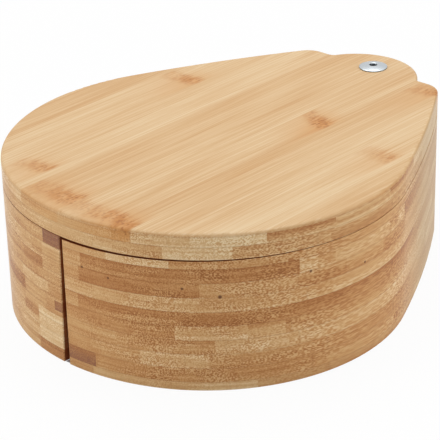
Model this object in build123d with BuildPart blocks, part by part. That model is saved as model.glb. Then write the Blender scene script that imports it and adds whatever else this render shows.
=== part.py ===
"""Swivel spice box in laminated bamboo.

Two bins lie side by side under one lid, and all three turn on one upright bolt
at the narrow end. +X points to the bolt, +Z up, and the origin is the middle of
the footprint, on the surface that the box stands on. Sizes are in millimetres.
"""

from build123d import *
import os

# Heights
bin_height = 49.15
floor_thickness = 3.3
lid_thickness = 9.5
lid_gap = 0.1
right_rim_drop = 0.75

# Plan outline, from the round end to the pivot tab
box_length = 180.0
nose_radius = 77.0
nose_angle = 25.7
bow_radius = 71.5
bow_angle = 88.3
shoulder_inset = 12.5
shoulder_half_width = 31.4
shoulder_round = 8.5
tab_radius = 23.7
notch_round = 2.5

# Split between the two bins, on the long axis
right_face_inset = 0.9
left_face_inset = 0.2
left_face_lean = 1.4
split_edge_chamfer = 0.3

# Pockets that hold the spices
outer_wall = 9.0
split_wall = 7.0
knuckle_wall = 8.0
pocket_corner_radius = 8.0
pocket_rim_chamfer = 0.8

# Knuckle at the pivot, where the lug of one bin laps over the other's
pivot_inset = 13.0
lug_margin = 0.4
swing_clearance = 0.5
lap_gap = 0.6

# Edges that a hand meets
lid_top_round = 1.3
lid_under_chamfer = 0.15
base_chamfer = 0.25

# Pivot bolt
bolt_diameter = 6.0
bolt_length = 45.0
bolt_tip_chamfer = 0.8
bolt_tip_room = 1.5
head_diameter = 11.0
head_height = 1.3
head_rim = 0.4
socket_across_flats = 3.0
socket_depth = 2.4
running_clearance = 0.08

# Threaded insert that the bolt screws into
insert_diameter = 9.0
insert_length = 13.0
insert_flange_diameter = 11.0
insert_flange_thickness = 1.2
insert_barbs = 3
insert_barb_depth = 0.5
thread_clearance = 0.03

# Washers under the lid and between the lugs
washer_diameter = 14.0
washer_thickness = 1.0
washer_seat_clearance = 0.2

# Places worked out from the sizes above
nose_x = -box_length / 2
shoulder_x = box_length / 2 - shoulder_inset
tab_x = box_length / 2 - tab_radius
pivot_x = box_length / 2 - pivot_inset
pivot_axis = Axis((pivot_x, 0, 0), (0, 0, 1))
lid_z = bin_height + lid_gap
lid_top_z = lid_z + lid_thickness
lap_z = (floor_thickness + bin_height) / 2
lower_lug_top_z = lap_z - lap_gap / 2
upper_lug_under_z = lap_z + lap_gap / 2
lap_seat_z = upper_lug_under_z - washer_thickness
lid_seat_z = lid_z - washer_thickness
bolt_tip_z = lid_top_z - bolt_length
bolt_radius = bolt_diameter / 2
bore_radius = bolt_radius + running_clearance
washer_seat_radius = washer_diameter / 2 + washer_seat_clearance

# Plan outline: each side runs in tangent arcs from the round end, out round the
# bow and down the long flank to a square shoulder, with the round tab behind it
shoulder_corner = (shoulder_x, shoulder_half_width)
notch_corner_y = (tab_radius**2 - (shoulder_x - tab_x) ** 2) ** 0.5

with BuildSketch() as plan:
    with BuildLine():
        nose = JernArc((nose_x, 0), (0, 1), nose_radius, -nose_angle)
        bow = JernArc(nose @ 1, nose % 1, bow_radius, -bow_angle)
        TangentArc(bow @ 1, shoulder_corner, tangent=bow % 1)
        Polyline(shoulder_corner, (shoulder_x, 0), (nose_x, 0))
    make_face()
    fillet(plan.vertices().sort_by_distance(shoulder_corner)[0], shoulder_round)
    mirror(about=Plane.XZ)
    with Locations((tab_x, 0)):
        Circle(tab_radius)
    for side in (1, -1):
        notch_corner = (shoulder_x, side * notch_corner_y)
        fillet(plan.vertices().sort_by_distance(notch_corner)[0], notch_round)

# Lug: the tab, and as much of the box as turns with it about the bolt
lug_radius = (notch_corner_y**2 + (shoulder_x - pivot_x) ** 2) ** 0.5 + lug_margin
scoop_radius = lug_radius + swing_clearance

with BuildSketch() as lug_plan:
    add(plan.sketch)
    with Locations((pivot_x, 0)):
        Circle(lug_radius, mode=Mode.INTERSECT)

# Pockets: the outline drawn in by the outer wall, less the wall at the split and
# the solid wood around the knuckle
pocket_end_x = pivot_x - scoop_radius - knuckle_wall


def half_pocket(split_y):
    """Pocket on the +Y side, between its split wall and the outer wall."""
    with BuildSketch() as pocket:
        add(plan.sketch)
        offset(amount=-outer_wall, kind=Kind.INTERSECTION)
        with Locations((nose_x, split_y)):
            pocket_size = (pocket_end_x - nose_x, box_length)
            Rectangle(*pocket_size, align=Align.MIN, mode=Mode.INTERSECT)
        split_corners = pocket.vertices().group_by(Axis.Y)[0]
        flank_corner = pocket.vertices().group_by(Axis.X)[-1].sort_by(Axis.Y)[-1]
        fillet([*split_corners, flank_corner], pocket_corner_radius)
    return pocket.sketch


with BuildSketch() as left_pocket:
    add(half_pocket(left_face_inset + left_face_lean + split_wall))

with BuildSketch() as right_pocket:
    add(half_pocket(right_face_inset + split_wall))
    mirror(about=Plane.XZ, mode=Mode.REPLACE)

# Split faces and rim: the right bin's split face is upright, the left bin's leans out
# at its foot, and the right bin's rim falls from the bow to the split
right_face = Plane((0, -right_face_inset, 0), x_dir=(1, 0, 0), z_dir=(0, -1, 0))
left_face = Plane(
    (0, left_face_inset, bin_height),
    x_dir=(1, 0, 0),
    z_dir=(0, bin_height, left_face_lean),
)
half_width = plan.sketch.bounding_box().max.Y
right_rim = Plane(
    (0, 0, bin_height - right_rim_drop),
    x_dir=(1, 0, 0),
    z_dir=(0, right_rim_drop, half_width),
)


def split_edge(piece):
    """The corner of a bin or floor where its split face meets the round end."""
    middle = piece.part.bounding_box().center()
    return piece.edges().sort_by_distance((nose_x, 0, middle.Z))[0]


def pocket_rim(piece):
    """The upper edges of a bin's pocket."""
    return piece.faces().sort_by(Axis.Z)[-1].inner_wires()[0].edges()


# Right floor: a thin panel under the right bin and its lug
with BuildPart() as right_floor:
    with BuildSketch():
        add(plan.sketch)
    extrude(amount=floor_thickness)
    split(bisect_by=right_face, keep=Keep.TOP)
    chamfer(split_edge(right_floor), split_edge_chamfer)
    with BuildSketch():
        add(lug_plan.sketch)
    extrude(amount=floor_thickness)
    chamfer(right_floor.faces().sort_by(Axis.Z)[0].edges(), base_chamfer)
right_floor.part.label = "right_floor"

# Left floor: a thin panel under the left bin, cut back round the right bin's lug
with BuildPart() as left_floor:
    with BuildSketch():
        add(plan.sketch)
    extrude(amount=floor_thickness)
    split(bisect_by=left_face, keep=Keep.TOP)
    chamfer(split_edge(left_floor), split_edge_chamfer)
    with BuildSketch():
        with Locations((pivot_x, 0)):
            Circle(scoop_radius)
    extrude(amount=floor_thickness, mode=Mode.SUBTRACT)
    chamfer(left_floor.faces().sort_by(Axis.Z)[0].edges(), base_chamfer)
left_floor.part.label = "left_floor"

# Right bin: its lug is the lower one and holds the insert
with BuildPart() as right_bin:
    with BuildSketch(Plane.XY.offset(floor_thickness)):
        add(plan.sketch)
    extrude(amount=bin_height - floor_thickness)
    split(bisect_by=right_face, keep=Keep.TOP)
    split(bisect_by=right_rim, keep=Keep.BOTTOM)
    chamfer(split_edge(right_bin), split_edge_chamfer)
    with BuildSketch(Plane.XY.offset(floor_thickness)):
        add(lug_plan.sketch)
    extrude(amount=lower_lug_top_z - floor_thickness)
    with BuildSketch(Plane.XY.offset(lower_lug_top_z)):
        with Locations((pivot_x, 0)):
            Circle(scoop_radius)
    extrude(amount=bin_height - lower_lug_top_z, mode=Mode.SUBTRACT)
    with BuildSketch(Plane.XY.offset(floor_thickness)):
        add(right_pocket.sketch)
    extrude(amount=bin_height - floor_thickness, mode=Mode.SUBTRACT)
    chamfer(pocket_rim(right_bin), pocket_rim_chamfer)
    with Locations((pivot_x, 0, lower_lug_top_z)):
        Hole(washer_seat_radius, depth=lower_lug_top_z - lap_seat_z)
    with Locations((pivot_x, 0, lap_seat_z)):
        CounterBoreHole(
            radius=insert_diameter / 2,
            counter_bore_radius=insert_flange_diameter / 2,
            counter_bore_depth=insert_flange_thickness,
            depth=insert_length,
        )
        Hole(bore_radius, depth=lap_seat_z - bolt_tip_z + bolt_tip_room)
right_bin.part.label = "right_bin"

# Left bin: its lug is the upper one and turns on the bolt
with BuildPart() as left_bin:
    with BuildSketch(Plane.XY.offset(floor_thickness)):
        add(plan.sketch)
    extrude(amount=bin_height - floor_thickness)
    split(bisect_by=left_face, keep=Keep.TOP)
    chamfer(split_edge(left_bin), split_edge_chamfer)
    with BuildSketch(Plane.XY.offset(upper_lug_under_z)):
        add(lug_plan.sketch)
    extrude(amount=bin_height - upper_lug_under_z)
    with BuildSketch(Plane.XY.offset(floor_thickness)):
        with Locations((pivot_x, 0)):
            Circle(scoop_radius)
    extrude(amount=upper_lug_under_z - floor_thickness, mode=Mode.SUBTRACT)
    with BuildSketch(Plane.XY.offset(floor_thickness)):
        add(left_pocket.sketch)
    extrude(amount=bin_height - floor_thickness, mode=Mode.SUBTRACT)
    chamfer(pocket_rim(left_bin), pocket_rim_chamfer)
    with Locations((pivot_x, 0, bin_height)):
        CounterBoreHole(
            radius=bore_radius,
            counter_bore_radius=washer_seat_radius,
            counter_bore_depth=bin_height - lid_seat_z,
        )
left_bin.part.label = "left_bin"

# Lid: the whole outline, rounded over on top, with the bolt's hole in its tab
with BuildPart() as lid:
    with BuildSketch(Plane.XY.offset(lid_z)):
        add(plan.sketch)
    extrude(amount=lid_thickness)
    fillet(lid.faces().sort_by(Axis.Z)[-1].edges(), lid_top_round)
    chamfer(lid.faces().sort_by(Axis.Z)[0].edges(), lid_under_chamfer)
    with Locations((pivot_x, 0, lid_top_z)):
        Hole(bore_radius)
lid.part.label = "lid"

# Pivot bolt: a low crowned head on the lid, with a hexagon socket
head_edge = (pivot_x + head_diameter / 2, lid_top_z + head_rim)
crown_top = (pivot_x, lid_top_z + head_height)

with BuildPart() as pivot_bolt:
    with BuildSketch(Plane.XZ):
        with BuildLine():
            TangentArc(crown_top, head_edge, tangent=(1, 0))
            Polyline(
                head_edge,
                (head_edge[0], lid_top_z),
                (pivot_x + bolt_radius, lid_top_z),
                (pivot_x + bolt_radius, bolt_tip_z + bolt_tip_chamfer),
                (pivot_x + bolt_radius - bolt_tip_chamfer, bolt_tip_z),
                (pivot_x, bolt_tip_z),
                crown_top,
            )
        make_face()
    revolve(axis=pivot_axis)
    with BuildSketch(Plane.XY.offset(lid_top_z + head_height)):
        with Locations((pivot_x, 0)):
            RegularPolygon(socket_across_flats / 2, 6, major_radius=False)
    extrude(amount=-socket_depth, mode=Mode.SUBTRACT)
pivot_bolt.part.label = "pivot_bolt"

# Threaded insert: pressed into the lower lug, where its barbs grip the wood
barb_height = (insert_length - insert_flange_thickness) / insert_barbs
with BuildPart() as thread_insert:
    with BuildSketch(Plane.XY.offset(lap_seat_z)):
        with Locations((pivot_x, 0)):
            Circle(insert_flange_diameter / 2)
    extrude(amount=-insert_flange_thickness)
    for barb in range(insert_barbs):
        barb_middle_z = lap_seat_z - insert_flange_thickness - barb_height * (barb + 0.5)
        with Locations((pivot_x, 0, barb_middle_z)):
            Cone(
                bottom_radius=insert_diameter / 2 - insert_barb_depth,
                top_radius=insert_diameter / 2,
                height=barb_height,
            )
    with Locations((pivot_x, 0, lap_seat_z)):
        Hole(bolt_radius + thread_clearance)
thread_insert.part.label = "thread_insert"

# Washers: one carries the lid on the upper lug, one carries the upper lug
with BuildSketch() as washer_plan:
    with Locations((pivot_x, 0)):
        Circle(washer_diameter / 2)
        Circle(bore_radius, mode=Mode.SUBTRACT)

with BuildPart() as lid_washer:
    with BuildSketch(Plane.XY.offset(lid_seat_z)):
        add(washer_plan.sketch)
    extrude(amount=washer_thickness)
lid_washer.part.label = "lid_washer"

with BuildPart() as lap_washer:
    with BuildSketch(Plane.XY.offset(lap_seat_z)):
        add(washer_plan.sketch)
    extrude(amount=washer_thickness)
lap_washer.part.label = "lap_washer"

# One file for each piece
pieces = (
    right_floor,
    left_floor,
    right_bin,
    left_bin,
    lid,
    pivot_bolt,
    thread_insert,
    lid_washer,
    lap_washer,
)
os.makedirs("parts", exist_ok=True)
for piece in pieces:
    export_step(piece.part, f"parts/{piece.part.label}.step")
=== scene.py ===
"""Swivel spice box in laminated bamboo: how it looks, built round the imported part."""

from math import cos, pi, radians, sin

import bpy
from mathutils import Matrix, Vector


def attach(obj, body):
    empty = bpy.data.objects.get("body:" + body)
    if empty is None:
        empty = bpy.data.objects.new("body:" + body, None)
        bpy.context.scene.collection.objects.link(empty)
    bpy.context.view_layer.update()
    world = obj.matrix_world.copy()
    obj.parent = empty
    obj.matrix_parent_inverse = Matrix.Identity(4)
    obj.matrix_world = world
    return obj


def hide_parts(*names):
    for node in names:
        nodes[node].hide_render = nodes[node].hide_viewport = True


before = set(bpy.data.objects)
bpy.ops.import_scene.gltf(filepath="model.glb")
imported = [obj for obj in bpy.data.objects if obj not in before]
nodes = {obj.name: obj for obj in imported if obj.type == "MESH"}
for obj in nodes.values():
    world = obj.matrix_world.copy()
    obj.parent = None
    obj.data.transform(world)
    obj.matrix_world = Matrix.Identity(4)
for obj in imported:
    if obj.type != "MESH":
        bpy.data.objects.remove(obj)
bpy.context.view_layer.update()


# Floor panels: a thin bamboo panel glued under each bin, sawn with it and sanded
# flush. Bamboo comes as strips glued side by side into a ply, and plies glued into
# a board, so a cut through the board shows each strip's own tone and its fibres.
class Amount:
    """A number that shader nodes work out, so that a finish can be written as sums."""

    def __init__(self, tree, socket):
        self.tree = tree
        self.socket = socket

    def feed(self, slot):
        self.tree.links.new(self.socket, slot)

    def worked(self, operation, *others):
        node = self.tree.nodes.new("ShaderNodeMath")
        node.operation = operation
        for slot, term in zip(node.inputs, (self, *others)):
            if isinstance(term, Amount):
                term.feed(slot)
            else:
                slot.default_value = term
        return Amount(self.tree, node.outputs[0])

    def __add__(self, other):
        return self.worked("ADD", other)

    def __sub__(self, other):
        return self.worked("SUBTRACT", other)

    def __mul__(self, other):
        return self.worked("MULTIPLY", other)

    def __truediv__(self, other):
        return self.worked("DIVIDE", other)

    def above(self, edge):
        return self.worked("GREATER_THAN", edge)

    def below(self, edge):
        return self.worked("LESS_THAN", edge)

    def between(self, low, high):
        return self.above(low) * self.below(high)

    def ramp(self, start, end, low=0.0, high=1.0):
        """Goes smoothly from low to high as this amount goes from start to end."""
        node = self.tree.nodes.new("ShaderNodeMapRange")
        node.interpolation_type = "SMOOTHSTEP"
        self.feed(node.inputs["Value"])
        limits = {"From Min": start, "From Max": end, "To Min": low, "To Max": high}
        for name, value in limits.items():
            node.inputs[name].default_value = value
        return Amount(self.tree, node.outputs["Result"])

    def toward(self, other, share):
        """This amount mixed with another one, by a share from 0 to 1."""
        node = self.tree.nodes.new("ShaderNodeMix")
        share.feed(node.inputs["Factor"])
        self.feed(node.inputs["A"])
        if isinstance(other, Amount):
            other.feed(node.inputs["B"])
        else:
            node.inputs["B"].default_value = other
        return Amount(self.tree, node.outputs["Result"])


def vector(x, y, z):
    """Three amounts as one place."""
    node = x.tree.nodes.new("ShaderNodeCombineXYZ")
    for slot, term in zip(node.inputs, (x, y, z)):
        if isinstance(term, Amount):
            term.feed(slot)
        else:
            slot.default_value = term
    return node.outputs[0]


def parts_of(tree, coordinate):
    """The x, y and z of one of the texture coordinates."""
    place = tree.nodes.new("ShaderNodeTexCoord")
    split = tree.nodes.new("ShaderNodeSeparateXYZ")
    tree.links.new(place.outputs[coordinate], split.inputs[0])
    return [Amount(tree, socket) for socket in split.outputs]


def spot_in_mm(tree):
    """Where a point of the box is at rest, as x, y and z in millimetres."""
    return [part * 1000.0 for part in parts_of(tree, "Object")]


def from_axis(off_x, off_y):
    """Distance from an upright axis, from how far off it a place is along x and y."""
    return (off_x * off_x + off_y * off_y).worked("SQRT")


def noise(tree, place, detail=2.0, roughness=0.5):
    """Soft noise about 0.5 at a place."""
    node = tree.nodes.new("ShaderNodeTexNoise")
    node.inputs["Scale"].default_value = 1.0
    node.inputs["Detail"].default_value = detail
    node.inputs["Roughness"].default_value = roughness
    tree.links.new(place, node.inputs["Vector"])
    return Amount(tree, node.outputs[0])


def grain(tree, spot, waves, detail=2.0, roughness=0.5, shift=0.0):
    """Soft noise about 0.5 inside a block. Waves says how often it changes in a
    millimetre along x, y and z, and another shift draws another pattern."""
    x, y, z = (axis * count for axis, count in zip(spot, waves))
    return noise(tree, vector(x, y, z + shift), detail, roughness)


def cells(tree, place):
    """Distance to the nearest of many scattered points."""
    node = tree.nodes.new("ShaderNodeTexVoronoi")
    node.inputs["Scale"].default_value = 1.0
    tree.links.new(place, node.inputs["Vector"])
    return Amount(tree, node.outputs["Distance"])


def lot(tree, place):
    """A number from 0 to 1 drawn for a whole-numbered place, the same each time."""
    node = tree.nodes.new("ShaderNodeTexWhiteNoise")
    tree.links.new(place, node.inputs["Vector"])
    return Amount(tree, node.outputs["Value"])


def paint(red, green, blue):
    """A colour given in the 0 to 255 values of a paint chart."""
    def linear(c):
        c = c / 255
        return c / 12.92 if c <= 0.04045 else ((c + 0.055) / 1.055) ** 2.4
    return (linear(red), linear(green), linear(blue), 1.0)


def mixed(tree, first, second, share):
    """Two colours mixed by an amount, each a socket or a fixed colour."""
    node = tree.nodes.new("ShaderNodeMix")
    node.data_type = "RGBA"
    share.feed(node.inputs[0])
    for slot, colour in ((node.inputs[6], first), (node.inputs[7], second)):
        if isinstance(colour, tuple):
            slot.default_value = colour
        else:
            tree.links.new(colour, slot)
    return node.outputs[2]


def new_finish(name):
    """A new material, with its node tree and the shader in it."""
    material = bpy.data.materials.new(name)
    material.use_nodes = True
    return material, material.node_tree, material.node_tree.nodes["Principled BSDF"]


def emboss(tree, shader, height, depth, strength):
    """Raises and sinks the surface by an amount, up to a depth in metres."""
    relief = tree.nodes.new("ShaderNodeBump")
    relief.inputs["Distance"].default_value = depth
    relief.inputs["Strength"].default_value = strength
    height.feed(relief.inputs["Height"])
    tree.links.new(relief.outputs[0], shader.inputs["Normal"])


bamboo_tones = (
    (0.00, paint(146, 90, 48)),
    (0.20, paint(171, 112, 62)),
    (0.45, paint(196, 145, 91)),
    (0.65, paint(211, 169, 116)),
    (0.85, paint(226, 194, 147)),
    (1.00, paint(237, 213, 171)),
)
mauve_strip = paint(134, 88, 70)
ripe_bamboo = paint(208, 140, 66)
# painted shade: the dull tone painted over the flanks toward the shoulder
painted_flank_shade = paint(130, 110, 56)
ochre_fleck = paint(212, 150, 80)
dark_fleck = paint(146, 84, 40)
scorched_pore = paint(88, 44, 20)
# painted shade: the dark red-brown painted into the gap and the seam between the parts
painted_seam_shade = paint(136, 62, 20)

# tones: where a mauve strip begins and is full, the darkest that any other strip goes,
# and the pale tone that the flanks lean to, a painted haze for the light that grazes them
mauve_tones = (0.20, 0.10)
darkest_tone = 0.36
painted_haze_tone = 0.88

# where the finish changes, and where the painted haze and painted shade go: runs along x, a band of y
# and heights, in millimetres
flank_run = (5.0, 45.0)
split_shade_run = (-62.0, -86.0)
seam_shade_run = (-25.0, -60.0)
split_band = (-2.0, 2.4)
rim_heights = (48.2, 49.4)
lid_foot_heights = (49.2, 49.42)
oiled_heights = (57.2, 57.7)

# the round end is struck from one upright axis on each side, mirrored in y
bow_axis_x = -17.95
bow_axis_y = 2.39
outer_rim_radii = (70.0, 70.8)


def off_edge(share, width):
    """Distance to the nearer edge of a ply or strip, from how far across it a place is."""
    return (share - 0.5).worked("ABSOLUTE") * -width + width / 2


def bamboo(name, ply_base, ply_height, strip_width, tone, spread, seed,
           odd_strips=(), joints=(), pores=(), mottled=1.0, ripeness=0.0):
    """Laminated bamboo with its fibres along X. Sizes are in millimetres. Tones go from
    0, dark, to 1, pale. Each odd strip is (y low, y high, z low, z high, tone at its foot,
    tone at its top), and the last one holds where two overlap. Each joint of the cane is
    (x, y where strong, y where faint, strength, slant, half width), and each pore
    (x, y, z, radius). Mottled is how loud the cut fibres are, and ripeness how brown
    the block is."""
    material, tree, shader = new_finish(name)
    spot = spot_in_mm(tree)
    x, y, z = spot
    faces_x, faces_y, faces_z = (part.worked("ABSOLUTE") for part in parts_of(tree, "Normal"))
    cut_side = faces_z.ramp(0.92, 0.55)
    upright = faces_z.ramp(0.62, 0.25)
    # painted haze and shade: the side faces toward the shoulder lean to a pale tone, calmer and
    # duller, for the haze and the dimmer light seen on that side
    painted_haze_flank = cut_side * x.ramp(*flank_run)

    # which ply and which strip, and how pale they are
    plies = (z - ply_base) / ply_height
    ply = plies.worked("FLOOR")
    ply_share = plies - ply
    strips = y / strip_width + lot(tree, vector(ply, seed, 0.0))
    strip = strips.worked("FLOOR")
    strip_share = strips - strip
    shade = lot(tree, vector(ply, strip, seed + 0.5)) * spread + (tone - spread / 2)
    kind = shade
    for y_low, y_high, z_low, z_high, foot_tone, top_tone in odd_strips:
        inside = y.between(y_low, y_high) * z.between(z_low, z_high)
        shade = shade.toward(z.ramp(z_low, z_high, foot_tone, top_tone), inside)
        kind = kind.toward((foot_tone + top_tone) / 2, inside)
    shade = shade.toward(painted_haze_tone, painted_haze_flank * 0.42)
    mauve = shade.ramp(*mauve_tones)
    shade = shade.worked("MAXIMUM", darkest_tone)

    # the skin side of a strip is denser and darker than its pith side
    ply_lean = lot(tree, vector(ply, seed + 3.0, 0.0)) - 0.5
    strip_lean = lot(tree, vector(ply, strip, seed + 4.5)) - 0.5
    shade = shade + (ply_share - 0.5) * (ply_lean * 0.30 + strip_lean * 0.18)

    # tone drifts along a strip, and long fibres streak it
    drift = grain(tree, spot, (0.014, 0.10, 0.22), detail=3.0)
    streak = grain(tree, spot, (0.010, 0.55, 0.9), detail=3.0, roughness=0.6)
    thread = grain(tree, spot, (0.022, 1.8, 1.8), roughness=0.6)
    vein = grain(tree, spot, (0.006, 0.8, 0.8), detail=1.0, shift=31.0).ramp(0.66, 0.76)
    own_place = vector(kind * 61.0 + x * 0.006, ply * 7.3 + y * 0.02, z * 1.1)
    layer = noise(tree, own_place, roughness=0.6)
    shade = shade + (drift - 0.5) * 0.30
    shade = shade + (streak - 0.5) * (painted_haze_flank * -0.08 + 0.15) - vein * 0.05
    shade = shade + (layer - 0.5) * (cut_side * 0.62 - painted_haze_flank * 0.24)
    shade = shade + (thread - 0.5) * (cut_side * -0.46 + 0.64)

    # painted shade: the faces at the split and the rims under the lid are darkened, for the shade in
    # the gap and the seam between the parts
    shaded_split = faces_y.above(0.9) * y.between(*split_band)
    shaded_rim = cut_side.below(0.5) * z.between(*rim_heights)
    shade = shade - shaded_split * 0.20 - shaded_rim * 0.06

    # bundles of fibres: pale and dark dots where they are cut across
    bundle = grain(tree, spot, (0.30, 2.3, 2.3), detail=0.0)
    mottle = bundle.ramp(0.34, 0.66) - 0.5
    loudness = grain(tree, spot, (0.03, 0.09, 0.3)).ramp(0.38, 0.62, 0.20, 0.52)
    loudness = loudness * x.ramp(*flank_run, 1.0, 0.45)
    across = faces_x.ramp(0.05, 0.40, 0.45, 1.0) * faces_x.ramp(1.0, 0.90, 0.55, 1.0)
    dots = mottle * loudness * across * mottled * (upright * 0.85 + 0.15)
    shade = shade - cut_side * 0.10 + dots

    ramp = tree.nodes.new("ShaderNodeValToRGB")
    while len(ramp.color_ramp.elements) < len(bamboo_tones):
        ramp.color_ramp.elements.new(0.5)
    for stop, (at, colour) in zip(ramp.color_ramp.elements, bamboo_tones):
        stop.position = at
        stop.color = colour
    shade.feed(ramp.inputs[0])
    colour = mixed(tree, ramp.outputs[0], mauve_strip, mauve * (mottle * -0.5 + 0.74))
    # painted shade: the flanks are dulled and lose the browner tone
    colour = mixed(tree, colour, ripe_bamboo, painted_haze_flank * -ripeness + ripeness)
    colour = mixed(tree, colour, painted_flank_shade, painted_haze_flank * 0.31)

    # painted shade: the split faces toward the round end, and the edges that meet under the lid
    # there, are painted dark red-brown so that the gap and the seam read dark
    off_bow = from_axis(x - bow_axis_x, y.worked("ABSOLUTE") - bow_axis_y)
    shaded_outer_rim = shaded_rim * off_bow.ramp(*outer_rim_radii)
    shaded_lid_foot = cut_side.above(0.1) * z.between(*lid_foot_heights)
    painted_shade_and_pores = shaded_split * x.ramp(*split_shade_run) * 0.75 + shaded_rim * 0.10
    painted_shade_and_pores = painted_shade_and_pores + (shaded_lid_foot * 0.75 + shaded_outer_rim * 0.85) * x.ramp(*seam_shade_run)
    colour = mixed(tree, colour, painted_seam_shade, painted_shade_and_pores)

    # joints of the cane: a soft ochre mark across one strip, with dark flecks in it
    if joints:
        wander = grain(tree, spot, (0.02, 0.16, 0.3)) - 0.5
        blotch = grain(tree, spot, (0.20, 0.70, 0.3), detail=3.0, shift=5.0).ramp(0.34, 0.62)
        fleck = cells(tree, vector(x * 0.62, y * 0.80, z * 0.80)).ramp(0.50, 0.20)
    for joint_x, strong_y, faint_y, strength, slant, width in joints:
        middle_y = (strong_y + faint_y) / 2
        low_y = min(strong_y, faint_y)
        high_y = max(strong_y, faint_y)
        off = x - joint_x - (y - middle_y) * slant + wander * 7.0 + (thread - 0.5) * 9.0
        inside = y.ramp(low_y - 0.5, low_y + 1.0) * y.ramp(high_y + 0.5, high_y - 1.0)
        inside = inside * y.ramp(faint_y, strong_y, 0.35 * strength, strength) * ply.above(0.5)
        halo = off.ramp(-6.0 * width, 0.0) * off.ramp(3.0 * width, 0.0) * inside
        band = off.ramp(-1.4 * width, -0.2 * width) * off.ramp(1.2 * width, 0.2 * width)
        band = band * inside
        colour = mixed(tree, colour, ochre_fleck, halo * (thread * 0.6 + 0.05))
        colour = mixed(tree, colour, ochre_fleck, band * (blotch * 0.55 + 0.30))
        colour = mixed(tree, colour, dark_fleck, band * (blotch * 0.26 + fleck * 0.30))

    # glue lines between plies and strips, and the lid's oiled top
    ply_glue = off_edge(ply_share, ply_height).ramp(0.30, 0.05)
    strip_glue = off_edge(strip_share, strip_width).ramp(0.22, 0.05) * 0.6
    glue = ply_glue.worked("MAXIMUM", strip_glue)
    oiled_top = z.ramp(*oiled_heights)
    colour = mixed(tree, colour, dark_fleck, glue.worked("MAXIMUM", oiled_top) * 0.22)

    for *centre, radius in pores:
        reach = tree.nodes.new("ShaderNodeVectorMath")
        reach.operation = "DISTANCE"
        tree.links.new(vector(x, y, z), reach.inputs[0])
        reach.inputs[1].default_value = centre
        hole = Amount(tree, reach.outputs["Value"]).ramp(radius, radius * 0.4)
        colour = mixed(tree, colour, scorched_pore, hole * 0.85)
        painted_shade_and_pores = painted_shade_and_pores.worked("MAXIMUM", hole)

    # sanded wood has a faint haze when it is seen along its face, and the painted seam shade and the
    # pores have none
    tree.links.new(colour, shader.inputs["Base Color"])
    (streak * 0.20 + 0.42 + bundle * 0.10).feed(shader.inputs["Roughness"])
    shader.inputs["Specular IOR Level"].default_value = 0.30
    shader.inputs["Sheen Weight"].default_value = 0.36
    shader.inputs["Sheen Roughness"].default_value = 0.25
    haze = mixed(tree, paint(255, 255, 255), paint(0, 0, 0), painted_shade_and_pores)
    tree.links.new(haze, shader.inputs["Sheen Tint"])
    relief = streak * 0.4 + thread * 0.3 + bundle * cut_side * 0.5 - glue * 0.5
    emboss(tree, shader, relief, depth=0.0001, strength=0.5)
    return material


def finish_node(node, material):
    """Gives a CAD node one material in all its slots."""
    slots = nodes[node].data.materials
    if not slots:
        slots.append(material)
    for index in range(len(slots)):
        slots[index] = material


floor_bamboo = bamboo(
    "floor panel bamboo", ply_base=-2.1, ply_height=5.4, strip_width=17.0,
    tone=0.60, spread=0.14, seed=3.0,
    odd_strips=(
        (0.0, 15.4, -1.0, 3.4, 0.40, 0.40),
        (15.4, 60.0, -1.0, 3.4, 0.74, 0.74),
        (-44.0, -12.0, -1.0, 3.4, 0.74, 0.76),
        (-60.8, -44.0, -1.0, 3.4, 0.78, 0.80),
        (-64.0, -60.8, -1.0, 3.4, 0.62, 0.64),
        (-75.0, -64.0, -1.0, 3.4, 0.54, 0.56),
    ),
    mottled=0.4,
)
for panel in ("right_floor", "left_floor"):
    finish_node(panel, floor_bamboo)


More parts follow.
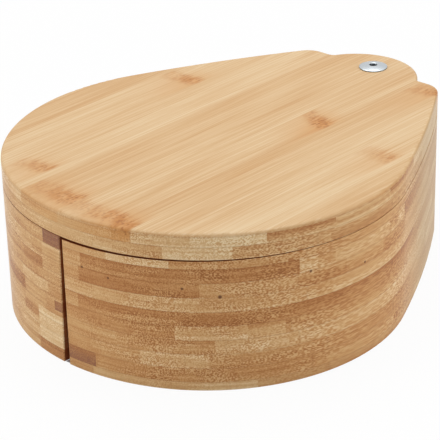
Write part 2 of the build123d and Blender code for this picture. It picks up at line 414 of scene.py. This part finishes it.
# Right bin: a half block laid up from nine plies, with its pocket milled from above
# and the lower lug of the pivot left standing. Its lighter and browner strips run
# through the whole block, from the round end to the shoulder.
right_block = bamboo(
    "right bin bamboo", ply_base=3.3, ply_height=5.34, strip_width=14.0,
    tone=0.56, spread=0.14, seed=11.0, ripeness=0.12,
    # ply by ply from the top down
    odd_strips=(
        (-75.0, 0.0, 46.0, 49.2, 0.64, 0.58),
        (-40.0, -19.5, 46.0, 49.2, 0.88, 0.90),
        (-19.5, 0.0, 46.0, 49.2, 0.69, 0.67),
        (-9.0, 0.0, 40.7, 46.0, 0.68, 0.66),
        (-48.6, -9.0, 40.7, 46.0, 0.46, 0.36),
        (-68.2, -48.6, 40.7, 46.0, 0.38, 0.31),
        (-70.6, -68.2, 40.7, 46.0, 0.73, 0.78),
        (-72.4, -70.6, 40.7, 46.0, 0.60, 0.62),
        (-75.0, -72.4, 40.7, 46.0, 0.72, 0.76),
        (-8.0, 0.0, 35.3, 40.7, 0.66, 0.62),
        (-27.4, -8.0, 35.3, 40.7, 0.42, 0.36),
        (-48.0, -27.4, 35.3, 40.7, 0.38, 0.40),
        (-67.9, -48.0, 35.3, 40.7, 0.70, 0.63),
        (-73.2, -67.9, 35.3, 40.7, 0.54, 0.52),
        (-75.0, -73.2, 35.3, 40.7, 0.64, 0.62),
        (-75.0, 0.0, 30.0, 35.3, 0.72, 0.67),
        (-75.0, -72.0, 30.0, 35.3, 0.78, 0.72),
        (-48.0, -27.4, 33.2, 35.3, 0.82, 0.82),
        (-43.0, -7.0, 24.7, 30.0, 0.54, 0.36),
        (-7.0, 0.0, 24.7, 30.0, 0.66, 0.52),
        (-62.5, -43.0, 24.7, 30.0, 0.34, 0.42),
        (-73.0, -62.5, 24.7, 30.0, 0.46, 0.33),
        (-75.0, -73.0, 24.7, 30.0, 0.42, 0.34),
        (-41.0, -20.0, 19.3, 24.7, 0.50, 0.46),
        (-59.0, -41.0, 19.3, 24.7, 0.80, 0.74),
        (-66.0, -59.0, 19.3, 24.7, 0.66, 0.64),
        (-22.0, 0.0, 14.0, 19.3, 0.62, 0.68),
        (-74.0, -51.5, 14.0, 19.3, 0.75, 0.83),
        (-30.0, -12.0, 8.6, 14.0, 0.62, 0.66),
        (-50.0, -30.0, 8.6, 14.0, 0.80, 0.80),
        (-63.0, -50.0, 8.6, 14.0, 0.60, 0.62),
        (-13.2, 0.0, 3.3, 8.6, 0.10, 0.16),
        (-52.0, -28.0, 3.3, 8.6, 0.52, 0.56),
        (-75.0, -71.5, 3.3, 8.6, 0.66, 0.68),
    ),
    pores=(
        (-89.4, -9.7, 40.7, 0.6),
        (-87.4, -20.0, 39.2, 0.6),
        (-76.4, -43.5, 38.8, 0.65),
        (-68.4, -53.0, 35.8, 0.9),
        (-42.0, -69.7, 40.5, 0.7),
        (-18.8, -73.9, 36.1, 0.65),
    ),
)
finish_node("right_bin", right_block)


# Threaded insert: turned brass, pushed into the lower lug, where its three barbs hold
# it. The flange stops it flush with the washer's seat, and its bore carries the thread.
pivot_x = 77.0
steps_round = 72
ring_spacing = 0.125
thread_pitch = 1.0
thread_slope = 3.2
thread_flat = 1.25


def thread_depth(step, height):
    """How far the thread is cut in at a place: 0 on its crest, 1 at its root."""
    across = (height / thread_pitch - step / steps_round) % 1.0
    return max(0.0, min(1.0, thread_flat - abs(across - 0.5) * thread_slope))


def turned(name, rings, closed_ends):
    """A skin through rings about the pivot. A ring is one (radius, height) or one for
    each step round; sizes are in millimetres."""
    points, faces = [], []
    for ring in rings:
        if isinstance(ring, tuple):
            ring = [ring] * steps_round
        for step, (radius, height) in enumerate(ring):
            angle = 2 * pi * step / steps_round
            points.append((
                (pivot_x + radius * cos(angle)) / 1000,
                radius * sin(angle) / 1000,
                height / 1000,
            ))
    last = len(rings) - 1
    for level in range(last if closed_ends else last + 1):
        low = level * steps_round
        high = (level + 1) % len(rings) * steps_round
        for step in range(steps_round):
            beside = (step + 1) % steps_round
            faces.append((low + step, low + beside, high + beside, high + step))
    if closed_ends:
        faces.append(tuple(reversed(range(steps_round))))
        faces.append(tuple(range(last * steps_round, (last + 1) * steps_round)))
    mesh = bpy.data.meshes.new(name)
    mesh.from_pydata(points, [], faces)
    mesh.shade_smooth()
    mesh.set_sharp_from_angle(angle=radians(32))
    piece = bpy.data.objects.new(name, mesh)
    bpy.context.scene.collection.objects.link(piece)
    return piece


def metal(name, colour, roughness, mark_spacing, painted_dark_below):
    """Bare metal with fine tool marks that run round the pivot, painted dark under a height: painted
    shade in a socket and a painted dark reflection on a head's edge.
    """
    material, tree, shader = new_finish(name)
    spot = spot_in_mm(tree)
    x, y, z = spot
    off_x = x - pivot_x
    radius = from_axis(off_x, y)
    across_marks = vector(radius / mark_spacing, z / mark_spacing, off_x * 0.05)
    marks = noise(tree, across_marks, detail=3.0, roughness=0.6)
    clouds = grain(tree, spot, (0.5, 0.5, 0.5), detail=3.0)
    shader.inputs["Metallic"].default_value = 1.0
    darker = tuple(0.78 * c for c in colour[:3]) + (1.0,)
    painted_dark = tuple(0.30 * c for c in colour[:3]) + (1.0,)
    polished = mixed(tree, colour, darker, marks * 0.5 + clouds * 0.5)
    # painted shade and reflection: everything below the height is painted dark
    with_painted_dark = mixed(tree, polished, painted_dark, z.ramp(painted_dark_below + 0.06, painted_dark_below - 0.06))
    tree.links.new(with_painted_dark, shader.inputs["Base Color"])
    (marks * 0.14 + clouds * 0.12 + (roughness - 0.13)).feed(shader.inputs["Roughness"])
    emboss(tree, shader, marks, depth=0.00002, strength=0.4)
    return material


flange_radius = 5.5
flange_top = 25.52
flange_under = 24.33
insert_foot = 12.53
barb_radius = 4.5
barb_root = 4.0
bore_mouth = 3.6
bore_radius = 3.04
bore_foot = 3.5
bore_thread_cut = 0.42
bore_rings = 98

insert_outside = [
    (3.7, insert_foot), (3.95, insert_foot + 0.15),
    (barb_radius, 16.25), (barb_radius, 16.43), (barb_root, 16.45),
    (barb_radius, 20.2), (barb_radius, 20.37), (barb_root, 20.39),
    (barb_radius, 24.1), (barb_radius, flange_under),
    (flange_radius - 0.15, flange_under), (flange_radius, flange_under + 0.15),
    (flange_radius, flange_top - 0.2), (flange_radius - 0.2, flange_top),
]
insert_bore = [(bore_mouth, flange_top)]
for count in range(bore_rings):
    height = flange_top - 0.4 - count * ring_spacing
    insert_bore.append([
        (bore_radius + bore_thread_cut * thread_depth(step, height), height)
        for step in range(steps_round)
    ])
insert_bore.append((bore_foot, insert_foot))
insert_piece = turned("brass_insert", insert_outside + insert_bore, closed_ends=False)
insert_piece.data.materials.append(
    metal("turned brass", paint(200, 166, 98), roughness=0.30, mark_spacing=0.12, painted_dark_below=0.0)
)
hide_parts("thread_insert")
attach(insert_piece, "right_body")


# Washers: two plain nylon rings, one between the lugs and one under the lid, each in
# a shallow seat bored round the bolt so that wood never rubs on wood.
def nylon(name):
    """Milky moulded nylon."""
    material, tree, shader = new_finish(name)
    cloud = grain(tree, spot_in_mm(tree), (0.6, 0.6, 0.6), detail=3.0)
    milky = mixed(tree, paint(232, 230, 222), paint(216, 212, 200), cloud)
    tree.links.new(milky, shader.inputs["Base Color"])
    (cloud * 0.2 + 0.35).feed(shader.inputs["Roughness"])
    return material


washer_nylon = nylon("washer nylon")
for washer in ("lap_washer", "lid_washer"):
    finish_node(washer, washer_nylon)


# Left bin: the other half block, with the upper lug. It was laid up on its own, so
# its plies do not line up with the right bin's across the split.
left_block = bamboo(
    "left bin bamboo", ply_base=4.8, ply_height=4.9, strip_width=14.0,
    tone=0.66, spread=0.14, seed=23.0,
    # ply by ply from the top down
    odd_strips=(
        (-1.0, 9.2, 44.0, 49.2, 0.13, 0.11),
        (9.2, 30.0, 44.0, 49.2, 0.64, 0.62),
        (-1.0, 10.0, 39.1, 44.0, 0.74, 0.72),
        (24.0, 45.0, 39.1, 44.0, 0.78, 0.74),
        (10.4, 23.0, 33.3, 37.9, 0.42, 0.36),
        (23.0, 45.0, 33.3, 37.9, 0.56, 0.52),
        (-1.0, 30.0, 29.3, 33.3, 0.60, 0.60),
        (8.0, 25.0, 25.0, 29.2, 0.76, 0.74),
        (24.0, 42.0, 19.8, 25.0, 0.34, 0.42),
        (-1.0, 5.0, 19.5, 23.2, 0.14, 0.16),
        (15.2, 25.0, 12.1, 16.5, 0.46, 0.52),
        (-1.0, 15.0, 4.9, 17.5, 0.94, 0.92),
        (15.2, 30.0, 4.9, 12.1, 0.78, 0.74),
        (-1.0, 15.4, 3.0, 4.9, 0.40, 0.40),
    ),
)
finish_node("left_bin", left_block)


# Lid: a board of two plies cut to the whole outline, rounded over on top and sanded
# finest. The top ply's strips run the length of it, with the cane's joints showing.
lid_board = bamboo(
    "lid bamboo", ply_base=49.24, ply_height=4.76, strip_width=18.6,
    tone=0.80, spread=0.10, seed=41.0,
    odd_strips=(
        # the top ply, as it shows from above
        (58.5, 75.0, 54.0, 59.0, 0.77, 0.77),
        (41.0, 58.5, 54.0, 59.0, 0.91, 0.91),
        (22.0, 41.0, 54.0, 59.0, 0.91, 0.91),
        (3.0, 22.0, 54.0, 59.0, 0.81, 0.81),
        (-10.0, 3.0, 54.0, 59.0, 0.82, 0.82),
        (-28.7, -10.0, 54.0, 59.0, 0.80, 0.80),
        (-46.0, -28.7, 54.0, 59.0, 0.87, 0.87),
        (-62.9, -46.0, 54.0, 59.0, 0.90, 0.90),
        (-75.0, -62.9, 54.0, 59.0, 0.80, 0.80),
        # the top ply's cut edge, under the round
        (22.0, 45.0, 54.0, 57.6, 0.84, 0.84),
        (-28.7, 22.0, 54.0, 57.6, 0.74, 0.70),
        (-28.7, -22.0, 54.0, 57.6, 0.62, 0.50),
        (-46.0, -28.7, 54.0, 57.6, 0.81, 0.81),
        (-62.9, -46.0, 54.0, 57.6, 0.94, 0.94),
        (-72.4, -62.9, 54.0, 57.6, 0.76, 0.40),
        (-75.0, -72.4, 54.0, 57.6, 0.73, 0.73),
        # the lower ply's cut edge
        (22.0, 45.0, 49.0, 54.0, 0.67, 0.69),
        (-22.0, 22.0, 49.0, 54.0, 0.72, 0.74),
        (-38.3, -22.0, 49.0, 54.0, 0.64, 0.70),
        (-56.1, -38.3, 49.0, 54.0, 0.89, 0.86),
        (-72.3, -56.1, 49.0, 54.0, 0.67, 0.62),
        (-75.0, -72.0, 49.0, 53.6, 0.50, 0.57),
    ),
    joints=(
        (22.0, 41.5, 58.0, 1.2, 0.0, 4.5),
        (23.5, -24.0, -9.5, 1.7, 0.35, 4.5),
        (-69.5, 26.0, 41.0, 1.0, -0.1, 4.5),
        (-80.5, 0.0, 22.5, 1.2, 0.0, 5.5),
        (-81.5, -28.5, 0.0, 1.4, 0.0, 5.0),
        (14.0, -61.0, -46.0, 0.8, 0.0, 5.0),
        (72.0, -36.0, -23.5, 1.1, -0.3, 6.5),
    ),
    mottled=0.85,
)
finish_node("lid", lid_board)


# Pivot bolt: zinc-plated steel with a low crowned head and a hexagon socket. It goes
# down through the lid and the upper lug into the insert, and all three parts turn on it.
bolt_tip = 13.75
tip_radius = 2.2
shank_radius = 2.98
shank_rings = 139
bolt_thread_cut = 0.52
thread_end = 31.0
thread_runout = 1.5
head_radius = 5.5
head_under = 58.75
head_edge = 59.05
crown_top = 60.05
crown_radius = 17.256
socket_flat = 1.5
socket_corner = 1.69
socket_floor = 57.65


def crown(radius):
    """Height of the head's crown at a distance from the bolt's axis."""
    return crown_top - crown_radius + (crown_radius**2 - radius**2) ** 0.5


def socket_wall(step):
    """Distance from the axis to the hexagon's wall, with its corners a little round."""
    off_flat = abs((360 * step / steps_round) % 60 - 30)
    return min(socket_flat / cos(radians(off_flat)), socket_corner)


def socket_ring(height, drawn_in=0.0):
    """A ring round the socket's wall, drawn in from it a little where that is wanted."""
    return [(socket_wall(step) - drawn_in, height) for step in range(steps_round)]


# the threaded shank, from its chamfered tip up
bolt_rings = []
for count in range(shank_rings):
    height = bolt_tip + count * ring_spacing
    cut = bolt_thread_cut * min(1.0, (thread_end - height) / thread_runout)
    tip_limit = tip_radius + (height - bolt_tip)
    bolt_rings.append([
        (min(tip_limit, shank_radius - cut * thread_depth(step, height)), height)
        for step in range(steps_round)
    ])
# the neck, the underside of the head and its edge
bolt_rings += [
    (shank_radius, 58.45), (shank_radius + 0.07, 58.63), (shank_radius + 0.27, head_under),
    (head_radius - 0.2, head_under), (head_radius - 0.06, head_under + 0.05),
    (head_radius, head_under + 0.18), (head_radius, head_edge),
    (head_radius - 0.03, head_edge + 0.08), (head_radius - 0.12, head_edge + 0.135),
]
# the crown, from its edge in to the socket, and then down the socket
bolt_rings += [(tenths / 10, crown(tenths / 10)) for tenths in range(51, 20, -3)]
bolt_rings += [
    (1.84, crown(1.84)), (1.76, crown(1.76) - 0.04),
    socket_ring(crown_top - 0.28), socket_ring(socket_floor + 0.1),
    socket_ring(socket_floor, drawn_in=0.12),
]
bolt_piece = turned("plated_bolt", bolt_rings, closed_ends=True)
# painted shade and reflection: below the head's top the bolt is painted dark, for the shade in its
# socket and the dark surround its edge reflects
bolt_piece.data.materials.append(
    metal("bright zinc plate", paint(192, 198, 202), roughness=0.34, mark_spacing=0.2, painted_dark_below=59.1)
)
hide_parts("pivot_bolt")
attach(bolt_piece, "right_body")


# Setting: a plain pale floor, a white surround, and the camera where the photograph's
# stood. The surround lights the box softly and shows as white behind it.
def plain_sheet(name, size, height):
    """A square sheet of floor, lying flat."""
    half = size / 2
    corners = [(x, y, height) for x, y in ((-half, -half), (half, -half), (half, half), (-half, half))]
    mesh = bpy.data.meshes.new(name)
    mesh.from_pydata(corners, [], [(0, 1, 2, 3)])
    sheet = bpy.data.objects.new(name, mesh)
    bpy.context.scene.collection.objects.link(sheet)
    return sheet


def looked_at(tree):
    """1 for what the camera sees, straight or in a shine, and 0 for what lights the box."""
    path = tree.nodes.new("ShaderNodeLightPath")
    kinds = ("Is Camera Ray", "Is Glossy Ray", "Is Transmission Ray")
    straight, mirrored, through = (Amount(tree, path.outputs[kind]) for kind in kinds)
    return straight.worked("MAXIMUM", mirrored).worked("MAXIMUM", through)


# the floor shows nearly white with the box's shadow faint on it, and only the ground
# inside the split shows as dark as it is
floor_whiteness = 0.94
split_ground_x = (-89.2, 60.0)
split_ground_y = (-1.2, 1.8)
studio_floor = plain_sheet("studio_floor", 6.0, -0.0001)
floor_finish, tree, surface = new_finish("studio floor")
surface.inputs["Base Color"].default_value = (0.86, 0.86, 0.86, 1.0)
surface.inputs["Roughness"].default_value = 0.9
surface.inputs["Specular IOR Level"].default_value = 0.1
glow = tree.nodes.new("ShaderNodeEmission")
blend = tree.nodes.new("ShaderNodeMixShader")
ground_x, ground_y = spot_in_mm(tree)[:2]
in_split = ground_x.between(*split_ground_x) * ground_y.between(*split_ground_y)
(looked_at(tree) * (in_split * -1.0 + 1.0) * floor_whiteness).feed(blend.inputs[0])
tree.links.new(surface.outputs[0], blend.inputs[1])
tree.links.new(glow.outputs[0], blend.inputs[2])
tree.links.new(blend.outputs[0], tree.nodes["Material Output"].inputs["Surface"])
studio_floor.data.materials.append(floor_finish)

surround_light = 0.344
world = bpy.data.worlds.new("white surround")
bpy.context.scene.world = world
world.use_nodes = True
tree = world.node_tree
tree.nodes.clear()
surround = tree.nodes.new("ShaderNodeBackground")
surround.inputs["Color"].default_value = paint(255, 255, 255)
strength = looked_at(tree) * (1.0 - surround_light) + surround_light
strength.feed(surround.inputs["Strength"])
output = tree.nodes.new("ShaderNodeOutputWorld")
tree.links.new(surround.outputs[0], output.inputs["Surface"])

box_middle = Vector((0.0, 0.0, 0.03))


def soft_lamp(name, place, size, watts):
    """A square soft box that faces the middle of the spice box."""
    light = bpy.data.lights.new(name, "AREA")
    light.size = size
    light.energy = watts
    lamp = bpy.data.objects.new(name, light)
    lamp.location = place
    lamp.rotation_euler = (box_middle - Vector(place)).to_track_quat("-Z", "Y").to_euler()
    bpy.context.scene.collection.objects.link(lamp)


soft_lamp("top lamp", (0.15, 0.15, 1.1), size=1.0, watts=9.0)
soft_lamp("left lamp", (-1.0, 0.65, 0.35), size=0.8, watts=5.0)
soft_lamp("right lamp", (0.65, -1.0, 0.35), size=0.8, watts=5.3)

turn = radians(-46.42)
rise = radians(26.11)
roll = radians(-1.564)
look_at = Vector((0.02654, 0.03639, 0.0))
distance = 0.77005
camera_data = bpy.data.cameras.new("camera")
camera_data.lens = 158.8
camera_data.sensor_width = 36.0
camera_data.clip_end = 20.0
camera = bpy.data.objects.new("camera", camera_data)
bpy.context.scene.collection.objects.link(camera)
bpy.context.scene.camera = camera
back = Vector((sin(turn) * cos(rise), -cos(turn) * cos(rise), sin(rise)))
side = Vector((0.0, 0.0, 1.0)).cross(back).normalized()
up = back.cross(side)
level_side = side * cos(roll) + up * sin(roll)
level_up = up * cos(roll) - side * sin(roll)
axes = Matrix((level_side, level_up, back)).transposed().to_4x4()
camera.matrix_world = Matrix.Translation(look_at + back * distance) @ axes

bpy.context.scene.view_settings.view_transform = "Standard"
